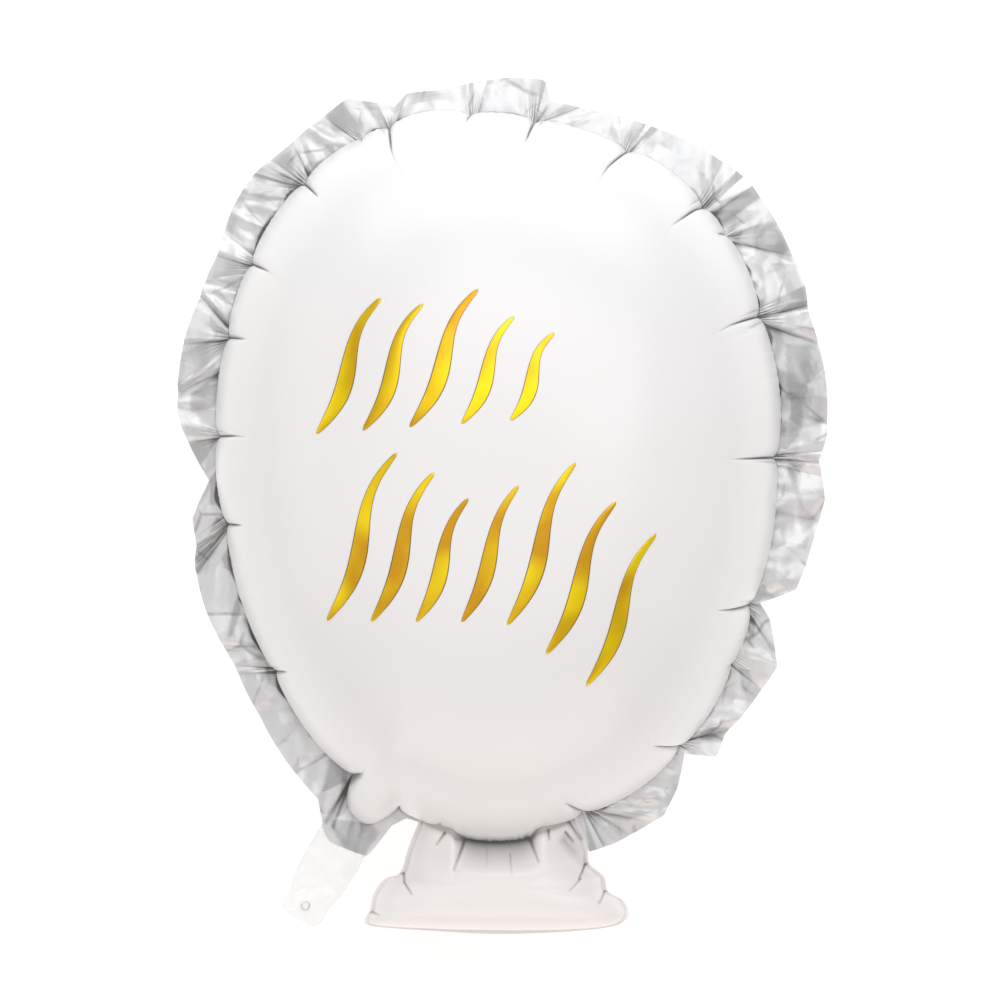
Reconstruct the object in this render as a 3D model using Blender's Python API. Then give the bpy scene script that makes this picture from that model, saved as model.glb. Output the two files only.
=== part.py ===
"""An inflated foil balloon lying on its back: an oval film body with a pleated skirt of film outside its
seal, a flared foot below it, and the clear tail of its filling valve.

Metres, +Z up. The seam lies in a level plane, the front faces up, the foot points along -Y.
The origin is on the floor, under the middle of the whole balloon.
"""

import math

import bmesh
import bpy
from mathutils import Vector

# The body, seen from the front. Clock angles run clockwise from the top, in degrees. The seam's radii
# stand at even steps of them.
BODY_CENTRE_X = -0.0025
BODY_CENTRE_Y = 0.0185
CLOCK_RADII = (0.231, 0.2225, 0.197, 0.1795, 0.1865, 0.2155, 0.231, 0.2115, 0.184, 0.180, 0.198, 0.2285)
CLOCK_STEP = 360.0 / len(CLOCK_RADII)
FRONT_HEIGHT = 0.115
BACK_HEIGHT = 0.113

# The small spot that the balloon lies on, as a share of the way from the middle to the seam.
FLAT_SHARE = 0.28

# Each pinch of the seam: clock angle, length of its crease on the body, width of the skirt there,
# width of the skirt halfway to the next pinch, and how far the seam bulges halfway to the next pinch.
PINCHES = (
    (6.3, 0.026, 0.029, 0.024, 0.001),
    (22.2, 0.028, 0.027, 0.025, 0.002),
    (37.8, 0.032, 0.031, 0.036, 0.001),
    (43.8, 0.008, 0.037, 0.034, 0.001),
    (58.5, 0.032, 0.032, 0.033, 0.002),
    (87.0, 0.031, 0.028, 0.030, 0.001),
    (117.6, 0.030, 0.026, 0.024, 0.003),
    (128.6, 0.008, 0.028, 0.027, 0.002),
    (146.2, 0.028, 0.016, 0.024, 0.003),
    (165.2, 0.028, 0.025, 0.003, 0.002),
    (196.4, 0.008, 0.006, 0.022, 0.016),
    (205.8, 0.012, 0.028, 0.022, 0.002),
    (228.1, 0.013, 0.026, 0.025, 0.002),
    (259.4, 0.017, 0.022, 0.011, 0.001),
    (277.6, 0.019, 0.025, 0.028, 0.001),
    (296.9, 0.016, 0.030, 0.025, 0.001),
    (310.2, 0.020, 0.025, 0.027, 0.001),
    (326.4, 0.022, 0.032, 0.025, 0.001),
    (337.8, 0.005, 0.030, 0.020, 0.001),
    (343.4, 0.026, 0.014, 0.018, 0.004),
    (355.8, 0.010, 0.019, 0.024, 0.001),
)

# How deep a pinch is at the seam and how far it reaches along it, at most this share of the way to the next
# pinch, with this many columns of the film's mesh between the two.
NOTCH = 0.003
PINCH_REACH = 0.007
PINCH_SHARE = 0.2
COLUMNS_BETWEEN = 3

# A pleat's height at the skirt's edge, either way, where the skirt is this wide or wider.
PLEAT = 0.007
FULL_SKIRT = 0.030

# The skirt runs level beside the foot: its clock angle, and where the pleats start and are full away from it.
FOOT_ANGLE = 181.0
PLEATS_START = 28.0
PLEATS_FULL = 38.0

# The two films. Real film is thinner than a solid can carry.
FILM = 0.0008
HALF_GAP = 0.00015

# The wider gap that the valve's tail comes out of, and its reach either side of the tail's clock angle.
VALVE_HALF_GAP = 0.0006
VALVE_ANGLE = 202.5
VALVE_REACH = 7.5

# How closely a bulge of the seam keeps to the seam: a higher power fades sooner on the body.
BULGE_POWER = 7

# Rings of the body, as shares of the way out to the seam, and of the skirt, as shares of its width.
# The skirt's flat underside starts a little inside the seam.
BODY_RINGS = (0.975, 0.93, 0.86, 0.76, 0.62, 0.45)
SKIRT_RINGS = (0.35, 0.70, 1.0)
SKIRT_ROOT = -0.2

# The foot's outline, from the body's centre, and its own middle.
FOOT_OUTLINE = (
    (-0.040, -0.206), (-0.049, -0.228), (-0.055, -0.242), (-0.059, -0.2565), (-0.071, -0.261),
    (-0.0775, -0.270), (-0.080, -0.280), (-0.0825, -0.286), (-0.078, -0.290), (-0.043, -0.2925),
    (0.0, -0.2932), (0.0435, -0.2925), (0.073, -0.2905), (0.0815, -0.283), (0.0775, -0.274),
    (0.068, -0.2695), (0.066, -0.260), (0.057, -0.2515), (0.055, -0.240), (0.050, -0.228),
    (0.040, -0.206), (0.0, -0.200),
)
FOOT_MIDDLE = (0.0, -0.264)
FOOT_HALF_THICKNESS = 0.031
FOOT_RINGS = (0.95, 0.85, 0.70, 0.45)
FOOT_POINTS_PER_SPAN = 2
FOOT_MARGIN = 0.0022
FOOT_MARGIN_THICKNESS = 0.0012
FOOT_HALF_GAP = 0.0004

# The clear tail of the filling valve, from the body's centre, with the hole near its end.
VALVE_START = (-0.0930, -0.2250)
VALVE_END = (-0.1285, -0.2865)
VALVE_START_WIDTH = 0.033
VALVE_END_WIDTH = 0.028
VALVE_THICKNESS = 0.0005
VALVE_CORNER = 0.007
HOLE_RADIUS = 0.0016
HOLE_FROM_END = 0.010
ROUND_POINTS = 16

# Steps of the sum that gives an inflated profile, and the share of the way out that stands for the seam.
PROFILE_STEPS = 48
NEAR_SEAM = 0.99995


def profile_area(share):
    """Height of an inflated film's profile at a share of the way out, before it is scaled."""
    start = math.asin(min(1.0, share * share))
    step = (math.pi / 2 - start) / PROFILE_STEPS
    return sum(math.sqrt(math.sin(start + (i + 0.5) * step)) for i in range(PROFILE_STEPS)) * step / 2


FULL_PROFILE = profile_area(0.0)


def crown(share):
    """1 in the middle of an inflated film and 0 at its seam, where it stands upright."""
    return profile_area(share) / FULL_PROFILE


def outward_normal(share, radius, height):
    """How far the film's normal leans outwards and upwards, at a share of the way out."""
    square = min(share, NEAR_SEAM) ** 2
    steepness = height * square / math.sqrt(1.0 - square * square) / FULL_PROFILE
    length = math.hypot(steepness, radius)
    return steepness / length, radius / length


SEAM_Z = BACK_HEIGHT * crown(FLAT_SHARE)


def smooth_closed(values, place):
    """A smooth closed curve through evenly spaced values, read at a place counted in values."""
    count = len(values)
    i = math.floor(place)
    t = place - i
    a, b, c, d = (values[(i + k) % count] for k in (-1, 0, 1, 2))
    return b + t / 2 * (c - a + t * (2 * a - 5 * b + 4 * c - d + t * (3 * (b - c) + d - a)))


def seam_radius(angle):
    return smooth_closed(CLOCK_RADII, angle / CLOCK_STEP)


def columns():
    """The columns of the body and skirt, clockwise: each one's clock angle and what the pinches do there."""
    made = []
    for k, (angle, crease, width, width_between, bulge) in enumerate(PINCHES):
        next_angle, _, next_width = PINCHES[(k + 1) % len(PINCHES)][:3]
        span = (next_angle - angle) % 360.0
        reach = min(math.degrees(PINCH_REACH / seam_radius(angle)), span * PINCH_SHARE)
        offsets = [0.0, reach]
        inner = span - 2 * reach
        offsets += [reach + inner * (i + 1) / (COLUMNS_BETWEEN + 1) for i in range(COLUMNS_BETWEEN)]
        offsets.append(span - reach)
        for number, offset in enumerate(offsets):
            share = offset / span
            if share < 0.5:
                skirt = width + (width_between - width) * share * 2
            else:
                skirt = width_between + (next_width - width_between) * (share * 2 - 1)
            from_foot = (abs(angle + offset - FOOT_ANGLE) - PLEATS_START) / (PLEATS_FULL - PLEATS_START)
            by_valve = abs(angle + offset - VALVE_ANGLE) < VALVE_REACH
            pleat = PLEAT * min(1.0, skirt / FULL_SKIRT) * min(1.0, max(0.0, from_foot))
            made.append(
                {
                    "angle": angle + offset,
                    "pinch": 1.0 if number == 0 else 0.0,
                    "crease": crease,
                    "skirt": skirt,
                    "bulge": bulge * math.sin(math.pi * share),
                    "lift": pleat * (-1) ** number,
                    "half_gap": VALVE_HALF_GAP if by_valve else HALF_GAP,
                }
            )
    return made


def direction(angle):
    return Vector((math.sin(math.radians(angle)), math.cos(math.radians(angle)), 0.0))


def body_point(column, share, height, side):
    """A point of the film at a share of the way out, on the front with side 1 or on the back with side -1."""
    radius = seam_radius(column["angle"]) + column["bulge"] * share ** BULGE_POWER
    inside = (1.0 - share) * radius
    fade = max(0.0, 1.0 - inside / column["crease"])
    outwards, upwards = outward_normal(share, radius, height)
    depth = NOTCH * column["pinch"] * fade
    out = radius * share - depth * outwards
    rise = height * crown(share) - depth * upwards
    return direction(column["angle"]) * out + Vector((0.0, 0.0, side * max(rise, 0.0)))


def skirt_point(column, share, lift):
    """A point of the skirt at a share of its width beyond the seam, lifted off the seam's plane."""
    radius = seam_radius(column["angle"]) + column["bulge"] - NOTCH * column["pinch"]
    out = radius + column["skirt"] * share
    return direction(column["angle"]) * out + Vector((0.0, 0.0, lift))


def loft(mesh, rings):
    """Closes the rows of points in order with quads, each row being a closed ring of the same count."""
    rows = [[mesh.verts.new(point) for point in ring] for ring in rings]
    for inner, outer in zip(rows, rows[1:]):
        for i in range(len(inner)):
            j = (i + 1) % len(inner)
            mesh.faces.new((inner[i], outer[i], outer[j], inner[j]))
    return rows


def film_half(height, side, flat_share):
    """Half of the body with its layer of the skirt: a solid from the seam's plane to the film."""
    around = columns()
    rings = []
    for share in reversed(BODY_RINGS):
        rings.append([body_point(c, share, height, side) for c in around])
    if flat_share:
        rings.insert(0, [body_point(c, flat_share, height, side) for c in around])
    rings.append([skirt_point(c, 0.0, side * (c["half_gap"] + FILM)) for c in around])
    for share in SKIRT_RINGS:
        levels = [c["lift"] * share + side * (c["half_gap"] + FILM) for c in around]
        rings.append([skirt_point(c, share, level) for c, level in zip(around, levels)])
    for share in reversed(SKIRT_RINGS):
        rings.append([skirt_point(c, share, c["lift"] * share + side * c["half_gap"]) for c in around])
    rings.append([skirt_point(c, 0.0, side * c["half_gap"]) for c in around])
    rings.append([skirt_point(c, SKIRT_ROOT, side * HALF_GAP) for c in around])
    mesh = bmesh.new()
    rows = loft(mesh, rings)
    if flat_share:
        mesh.faces.new(rows[0])
    else:
        top = mesh.verts.new((0.0, 0.0, side * height))
        for i, vertex in enumerate(rows[0]):
            mesh.faces.new((top, vertex, rows[0][(i + 1) % len(around)]))
    mesh.faces.new(rows[-1])
    return mesh


def foot_outline():
    """The foot's outline as a smooth closed run of points."""
    xs = [point[0] for point in FOOT_OUTLINE]
    ys = [point[1] for point in FOOT_OUTLINE]
    count = len(FOOT_OUTLINE) * FOOT_POINTS_PER_SPAN
    places = [i / FOOT_POINTS_PER_SPAN for i in range(count)]
    return [Vector((smooth_closed(xs, place), smooth_closed(ys, place), 0.0)) for place in places]


def foot_half(side):
    """Half of the foot's chamber with its narrow margin, as a solid from the seam's plane to the film."""
    middle = Vector((*FOOT_MIDDLE, 0.0))
    edge = [point - middle for point in foot_outline()]

    def ring(share, height, margin=0.0):
        return [middle + p * share + p.normalized() * margin + Vector((0, 0, side * height)) for p in edge]

    rings = [ring(share, FOOT_HALF_THICKNESS * crown(share)) for share in reversed(FOOT_RINGS)]
    rings.append(ring(1.0, FOOT_HALF_GAP + FOOT_MARGIN_THICKNESS))
    rings.append(ring(1.0, FOOT_HALF_GAP + FOOT_MARGIN_THICKNESS, FOOT_MARGIN))
    rings.append(ring(1.0, FOOT_HALF_GAP, FOOT_MARGIN))
    mesh = bmesh.new()
    rows = loft(mesh, rings)
    top = mesh.verts.new(middle + Vector((0, 0, side * FOOT_HALF_THICKNESS)))
    for i, vertex in enumerate(rows[0]):
        mesh.faces.new((top, vertex, rows[0][(i + 1) % len(edge)]))
    mesh.faces.new(rows[-1])
    return mesh


def add_object(name, mesh, collection, material=None):
    """An object of a bmesh, with its faces pointing out, standing where the balloon's body does."""
    quads = [face for face in mesh.faces if len(face.verts) == 4]
    bmesh.ops.triangulate(mesh, faces=quads, quad_method="SHORT_EDGE")
    bmesh.ops.recalc_face_normals(mesh, faces=mesh.faces)
    if mesh.calc_volume(signed=True) < 0.0:
        bmesh.ops.reverse_faces(mesh, faces=mesh.faces)
    data = bpy.data.meshes.new(name)
    mesh.to_mesh(data)
    mesh.free()
    made = bpy.data.objects.new(name, data)
    made.location = (BODY_CENTRE_X, BODY_CENTRE_Y, SEAM_Z)
    collection.objects.link(made)
    if material:
        data.materials.append(material)
    data.shade_smooth()
    return made


def film(name, height, side, flat_share, material, shown, helpers):
    """One film of the balloon: the body's half joined with the foot's half."""
    body = add_object(name, film_half(height, side, flat_share), shown, material)
    foot = add_object(name + "_foot", foot_half(side), helpers)
    foot.hide_render = True
    foot.display_type = "WIRE"
    join = body.modifiers.new("foot", "BOOLEAN")
    join.operation = "UNION"
    join.object = foot
    return body


def valve_tail(material, shown):
    """The clear tongue of the filling valve, with a rounded end and a hole."""
    start = Vector((*VALVE_START, 0.0))
    end = Vector((*VALVE_END, 0.0))
    along = (end - start).normalized()
    across = Vector((-along.y, along.x, 0.0))
    half = VALVE_END_WIDTH / 2
    outline = [start - across * VALVE_START_WIDTH / 2]
    for sign in (-1, 1):
        corner = end - along * VALVE_CORNER + across * sign * (half - VALVE_CORNER)
        steps = ROUND_POINTS // 4
        for i in range(steps + 1):
            turn = math.pi / 2 * (i / steps if sign < 0 else 1 - i / steps)
            outline.append(corner + (across * sign * math.cos(turn) + along * math.sin(turn)) * VALVE_CORNER)
    outline.append(start + across * VALVE_START_WIDTH / 2)
    hole_middle = end - along * HOLE_FROM_END
    hole = []
    for i in range(ROUND_POINTS):
        turn = 2 * math.pi * i / ROUND_POINTS
        hole.append(hole_middle + Vector((math.cos(turn), math.sin(turn), 0.0)) * HOLE_RADIUS)
    curve = bpy.data.curves.new("filling_valve", "CURVE")
    curve.dimensions = "2D"
    curve.fill_mode = "BOTH"
    curve.extrude = VALVE_THICKNESS / 2
    for points in (outline, hole):
        spline = curve.splines.new("POLY")
        spline.points.add(len(points) - 1)
        for point, place in zip(spline.points, points):
            point.co = (*place, 1.0)
        spline.use_cyclic_u = True
    curve.materials.append(material)
    made = bpy.data.objects.new("filling_valve", curve)
    made.location = (BODY_CENTRE_X, BODY_CENTRE_Y, SEAM_Z)
    shown.objects.link(made)
    return made


def material(name, colour, roughness, metallic):
    made = bpy.data.materials.new(name)
    made.use_nodes = True
    shader = made.node_tree.nodes["Principled BSDF"]
    shader.inputs["Base Color"].default_value = (*colour, 1.0)
    shader.inputs["Roughness"].default_value = roughness
    shader.inputs["Metallic"].default_value = metallic
    return made


def main():
    for old in list(bpy.data.objects):
        bpy.data.objects.remove(old)
    shown = bpy.data.collections.new("foil_balloon")
    helpers = bpy.data.collections.new("cutters")
    bpy.context.scene.collection.children.link(shown)
    bpy.context.scene.collection.children.link(helpers)
    satin = material("satin_white_film", (0.92, 0.91, 0.91), 0.35, 0.3)
    clear = material("clear_film", (0.95, 0.96, 0.97), 0.1, 0.0)
    film("front_film", FRONT_HEIGHT, 1, 0.0, satin, shown, helpers)
    film("back_film", BACK_HEIGHT, -1, FLAT_SHARE, satin, shown, helpers)
    valve_tail(clear, shown)


main()
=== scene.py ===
"""An inflated foil balloon lying on a pale floor, seen from straight above.

Satin white film with creases at each pinch of its seam, a pleated silvery skirt of film outside the seam,
a puffed foot, a clear filling tail, and two rows of golden strokes on the front.
"""

import math

import bmesh
import bpy
import numpy as np
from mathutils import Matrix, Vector


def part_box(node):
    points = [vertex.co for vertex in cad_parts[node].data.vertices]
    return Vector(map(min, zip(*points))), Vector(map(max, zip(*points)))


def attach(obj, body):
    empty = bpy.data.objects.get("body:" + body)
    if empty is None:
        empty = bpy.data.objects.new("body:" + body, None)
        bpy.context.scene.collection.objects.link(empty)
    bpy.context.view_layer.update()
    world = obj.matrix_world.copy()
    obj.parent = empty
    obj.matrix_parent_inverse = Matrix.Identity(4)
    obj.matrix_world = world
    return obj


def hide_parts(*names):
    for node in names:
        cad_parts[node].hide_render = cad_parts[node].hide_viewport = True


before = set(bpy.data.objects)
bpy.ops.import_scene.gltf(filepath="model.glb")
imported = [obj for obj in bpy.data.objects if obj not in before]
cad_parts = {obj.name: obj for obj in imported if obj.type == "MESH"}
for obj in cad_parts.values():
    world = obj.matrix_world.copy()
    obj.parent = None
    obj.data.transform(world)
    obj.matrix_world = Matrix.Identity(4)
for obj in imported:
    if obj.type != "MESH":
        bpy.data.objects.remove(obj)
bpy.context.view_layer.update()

MM = 0.001

# The seam's level, the front film's height and the back's flat level come from the frame: the valve's tail
# is centred on the seam. The back film's height is given.
tail_low, tail_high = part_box("filling_valve")
SEAM_Z = (tail_low[2] + tail_high[2]) / 2
FRONT_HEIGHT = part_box("front_film")[1][2] - SEAM_Z
BACK_HEIGHT = 0.113
FLAT_LEVEL = SEAM_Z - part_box("back_film")[0][2]
BODY_CENTRE = np.array((-0.0025, 0.0185))
SEAM_CENTRE = np.array((*BODY_CENTRE, SEAM_Z))

# The body seen from the front: seam radii in millimetres, one at each step in degrees, clockwise from the
# top.
SEAM_STEP = 15.0
SEAM_RADII = (
    231, 226.5, 222.5, 212, 197, 186.5, 179.5, 180.5, 186, 200.5, 215.5, 225.5, 231, 226, 211.5, 195.5,
    184.5, 178.5, 180, 186, 198, 214, 228.5, 235,
)

# The seam's bulge over the foot, in millimetres, and the lip that hangs over the foot's tucked middle.
FOOT_SPAN = (165.6, 196.5)
FOOT_BULGE = 2.0
LIP = 3.2
LIP_MIDDLE = 180.6
LIP_HALF_SPAN = 6.9
LIP_END = 0.9

# Each pinch of the seam: clock angle, then in millimetres the crease's length on the body, how far it leans
# clockwise at its inner end, its depth at the seam, and the seam's bulge halfway to the next pinch. Then
# how the skirt fans out from it, in degrees at its edge: how far the pinch's own line leans clockwise
# there, and how far the narrow pleats beside it reach before and after that line.
PINCHES = (
    (6, 21, -5, 3.4, 1, (0.5, 3, 8)),
    (22, 27, -12, 3.4, 1.5, (1, 4, 4)),
    (37.7, 29, -9, 3.4, 0.5, (0.8, 4, 2.2)),
    (43.7, 8, -4, 2.2, 1, (2, 1.5, 8)),
    (59, 31, -6, 3.6, 1.5, (2.5, 3, 6.5)),
    (86.7, 32, 0, 3.6, 1, (0.5, 4, 3.5)),
    (117.5, 24, 15, 3.8, 2, (-0.9, 4, 6.5)),
    (128.6, 4, 6, 2.2, 1.5, (-0.6, 3.5, 3)),
    (146.2, 18, 16, 3.6, 2, (-1.8, 7, 3)),
    (165.6, 15, 12, 3.8, FOOT_BULGE, (-1.5, 8.5, 0)),
    (196.5, 4, 0, 2, 20, (0, 0.5, 2)),
    (205.7, 9, -6, 3.2, 1.5, (2.5, 3, 3.5)),
    (228.4, 11, -6, 3, 1.5, (4.5, 2.5, 3)),
    (259.4, 14, -3, 3.2, 1, (-3, 6, 2)),
    (277.6, 19, 2, 3.2, 1, (-1, 6, 5)),
    (296.8, 16, 4, 3.2, 1, (-4, 7, 8)),
    (310.4, 19, 4, 3.2, 1, (-2.4, 4, 3.5)),
    (326.3, 19, 3, 3.4, 1, (-3, 5, 5.4)),
    (337.8, 4, 0, 2, 0.5, (-2, 3.5, 1.8)),
    (342.6, 24, -4, 3.4, 2.5, (-0.3, 2.2, 4)),
    (355.8, 9, -4, 2.4, 1, (0, 3, 3)),
)

# The skirt's outer edge: clock angle and radius in millimetres of each of its corners.
SKIRT_EDGE = (
    (1.8, 255.4), (6.9, 255.8), (7.9, 242.1), (15.8, 241.9), (25.8, 245.7), (40.3, 248.8), (49.8, 240.2),
    (58.9, 231.6), (62.8, 225.2), (72.5, 220.8), (83.4, 213.3), (87.7, 206.9), (94.5, 211.2),
    (102.7, 207.3), (111.2, 205.9), (116.2, 188), (118, 198), (124.6, 218.4), (138.9, 222.6),
    (142.3, 229.9), (146.3, 216.3), (150.3, 233.1), (154, 244), (162.5, 249.5), (166.4, 250), (167.8, 232),
    (181, 234), (194.8, 229), (196.8, 236.5), (197.5, 244.7), (198.8, 260), (204.5, 260), (206.1, 255),
    (207.2, 248), (208.9, 238.7), (215.8, 230), (224.7, 218), (234.2, 208.9), (245.2, 207.1),
    (253.5, 203.6), (256.7, 199.2), (261.6, 198.6), (268.6, 185.5), (278.1, 204.9), (281.3, 210.2),
    (292.1, 218.9), (300, 222.4), (308.5, 229.5), (315.7, 242.6), (320.7, 248.4), (327.4, 250.3),
    (338.1, 260), (344.3, 245.2), (346.5, 251.3), (351.3, 249.8),
)

# The columns of a film's mesh: how many are close together on each side of a pinch, the reach that they
# cover in millimetres, and the spacing of the others. The reach is at most this share of the way to the
# next pinch, with no fewer steps than this between.
FINE_COLUMNS = 14
FINE_REACH = 5.5
COLUMN_SPACING = 1.55
FINE_SHARE = 0.2
LEAST_STEPS = 3

# The rows of the skirt, closer together near the seam by this power, and the rings of the body. Along the
# film of a body of radius 1, the close rings start this far from the seam and tighten by a power, and the
# first ring is this far from the middle. The last ring is this share of the way to the seam, where the film
# stands upright.
SKIRT_ROWS = 20
SKIRT_ROW_POWER = 1.6
SEAM_RINGS = 20
INNER_RINGS = 13
CLOSE_FROM_SEAM = 0.30
CLOSE_POWER = 1.25
MIDDLE_GAP = 0.02
UPRIGHT_SHARE = 0.9998

# The creases and fine wrinkles of the body, in millimetres. A crease narrows and fades inwards by these
# powers.
CREASE_WIDTH_AT_SEAM = 3.2
CREASE_WIDTH_INSIDE = 1.1
CREASE_NARROWS = 4
CREASE_FADE = 0.75
# Half the width of the painted shade line along a crease.
CREASE_MARK = 0.85
LEAN_REACH = 19.0
LEAN_FADE = 30.0
WRINKLE_HEIGHT = 0.4
WRINKLE_REACH = 9.0
WRINKLE_START = 0.3

# How far in a bulge of the seam fades, in millimetres. Near the seam it has the seam's own outline, which
# blends into a plain swell of this share of its height.
BULGE_FADE = 22.0
BULGE_BLEND = 8.0
SWELL = 0.45

# The one bulge that is a puffed lobe: the pinch before it, and the shares of its span where it gets full.
LOBE_PINCH = 196.5
LOBE_RISE = 0.55
LOBE_POWER = 8

# Finer creases beside a pinch's own: clock angle, length, lean and depth, as above. Then how dark their
# painted shade is.
SIDE_CREASES = (
    (58, 22, -1, 1),
    (60.1, 27, -10, 1.3),
    (87.8, 24, 3, 0.9),
    (116.6, 14, 6, 0.8),
    (36.4, 15, -2, 0.8),
    (7.2, 11, -1, 0.7),
    (341.5, 12, -5, 0.7),
    (278.7, 11, 4, 0.7),
    (229.4, 8, 0, 0.6),
    (189.4, 6, 1, 1.4),
    (172.5, 5, -1, 1.2),
    (175.5, 4, 0, 0.8),
    (192.6, 5, 0, 0.7),
)
SIDE_CREASE_PAINTED_SHADE = 0.35

# The skirt's folds: clock angle at the edge, height there in millimetres, and how dark the fold's painted
# shade line is. The film gets painted shade clockwise of a line, and on its other side where the last
# number is below zero.
SKIRT_FOLDS = (
    (3.5, 2.5, 0.25), (6.5, -1.5, 0.5), (7.2, 2, 0), (8, -1, 0.9), (10, 1.5, 0), (12.7, -2, 0.9),
    (15.8, 1.5, 0.3), (19, 1.5, 0), (21, 2, 0.1), (23, -1.5, 0.5), (23.8, 1, 0.9), (25, -1, 0.3),
    (28.5, 2, 0), (33.5, 1.5, 0), (36, -1, 0.3), (38.3, 1.5, 0.8), (39.6, -1.5, 0.2), (41.5, 1.8, 0.9),
    (43.5, -2, 0.3), (45, 0.5, 0.2), (46.6, 3, 0), (47.5, 2.5, 0.5), (53.6, -3.2, -0.9), (56, 1.5, 0),
    (58.5, 2.5, 0.1), (60.7, 0, 0.2), (61.5, -2.2, -1), (62.2, 2, 0), (66, 2.5, 0), (67.8, -2.5, 1),
    (75, 2.8, 0), (77, 2.5, 0.2), (81, -1.5, 0.2), (84, 1.5, 0), (86.2, -1.5, 0.8), (86.9, 1.8, 0),
    (87.9, -1.4, 0.9), (88.7, 1.6, 0), (90.5, -1.8, 0.6), (93, 2, 0), (98.2, -1.5, 0.3), (103, 2, 0.3),
    (108, 1.5, 0), (112.4, 1.5, 0.3), (113.5, 2, 0), (116.6, -1.5, 0.8), (117.4, 1.2, 0.2), (119.5, -1, 0),
    (122.2, 1, 0), (122.9, -1.4, 1), (124, 1.6, 0.3), (127, 1.8, 0), (129.2, -1.8, -0.9), (133, 1, 0),
    (136.5, 2, 0.1), (137.7, -2.2, 1), (139.2, 0.8, 0), (143, 2, 0), (144.7, -1.8, 0.9), (146, 1, 0.1),
    (150, 1.6, 0), (154.8, 2, 0), (156.4, -0.5, 0.8), (159.8, -2.2, -0.9), (161, 0.8, 0),
    (162.1, -0.5, 0.5), (163, 1, 0.3), (164, -0.8, 0.6), (199, 0, 0), (206.5, -1, 0.6), (209.2, 1.5, 0.3),
    (210.5, -2, 0.5), (213.5, 1, 0.1), (219, 1.5, 0), (224.8, -0.5, 0.2), (228, 1.5, 0), (231, 1, 0),
    (232.3, -2, 0.9), (233, 2, 0), (234, -1.8, 1), (235.5, 1, 0), (238, -1, 0.6), (238.6, 2, 0),
    (243, 1.5, 0), (248, 1.5, 0), (250.6, 1, 0.1), (251.6, -1.8, 0.8), (252.6, 1.8, 0), (253.6, -1.8, 0.9),
    (254.8, 1.8, 0), (256.2, -1.8, 0.7), (257, 2.2, 0), (258.2, -2, 0.8), (262, 1.5, 0), (268.5, 1.5, 0),
    (270.7, 1.5, 0.1), (275.8, -2.7, -0.9), (277, 0, 0.3), (279, 2, 0.2), (281.5, -1, 0.1),
    (284.4, -2.5, -0.8), (285.8, 1.8, 0), (289, -0.5, 0), (292.3, -3, -1), (293.2, 2, 0), (296.8, 1.5, 0.3),
    (299.5, 1.8, 0), (300.6, -2, 0.9), (302, 1, 0), (304, 0.5, 0), (307.8, -2.5, -0.6), (308.6, 1.5, 0),
    (311.4, -1.2, 0.8), (313, 1.5, 0), (318.4, 1, 0), (319.2, -1, 0.3), (320.7, -2.5, -0.5), (321, 1.8, 0),
    (322.8, 1.5, 0.9), (324, -2, 0.2), (328.3, 1.2, 1), (331.5, 1.8, 0), (332.5, -0.5, 0.2),
    (334.1, -2.4, 0.9), (337.4, 2.2, 0), (340, -1.5, 0.2), (342, 1.5, -0.8), (343.5, -1.2, 0.2),
    (346.2, -0.5, 0.5), (347.5, 1.8, 0), (352.8, 1.5, 0), (355.5, -1, 0.6), (356.5, 1.5, 0),
    (358.4, -1, 0.6), (359.5, 1.5, 0),
)

# Dark pockets of the skirt folded in beside the body, given painted shade: clock angles from and to, width
# in millimetres, and how dark. Then the width of a pocket's edge, how much painted shade the film beside it
# gets and how far at least, its depth, and the power of its outline.
SKIRT_POCKETS = (
    (359.1, 365.3, 1.5, 0.7), (20, 22, 1.5, 0.4), (33.5, 37.5, 3, 0.35), (38.5, 43.4, 2.4, 1),
    (44.5, 49, 2.5, 0.25), (49.2, 52.5, 3, 0.7), (52.5, 55, 4, 0.35), (54.9, 58.8, 1.9, 1),
    (59.2, 65.5, 4.5, 0.8), (68, 71.5, 2, 0.25), (71.1, 75.2, 2.3, 1), (76, 79, 1.5, 0.3),
    (84, 86.5, 1.5, 0.4), (96, 99, 1.5, 0.15), (109, 117, 2, 0.2), (118, 123, 2, 0.5), (129, 133, 2.5, 0.5),
    (136, 141, 2.5, 0.3), (141.5, 145.6, 2, 0.8), (152, 156, 1.5, 0.3), (157.5, 160.2, 1.5, 0.7),
    (160.5, 165.5, 2.4, 1), (205.7, 211.2, 3.5, 1), (214.5, 216.5, 1.5, 0.5), (222.3, 228.3, 3.5, 0.85),
    (231, 241.1, 3, 1), (242.5, 245.7, 2, 0.8), (247.2, 256.5, 4, 0.8), (257.5, 262, 2, 0.6),
    (262, 269.5, 4.5, 0.9), (269.5, 277, 1.2, 0.7), (279, 284, 1.5, 0.2), (290, 296, 1.8, 0.35),
    (300, 309.5, 1.5, 0.5), (311, 321, 3.2, 1), (321.5, 326.2, 4, 0.9), (327, 332, 3, 0.45),
    (338.4, 342.2, 1.7, 1), (343, 345.5, 2, 0.8), (345.5, 350, 1.2, 0.4), (351, 355.5, 1, 0.35),
)
POCKET_EDGE = 1.1
POCKET_SHADE = 0.4
LEAST_SHADE = 0.1
POCKET_DEPTH = 0.28
POCKET_FULLNESS = 1.5
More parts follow.
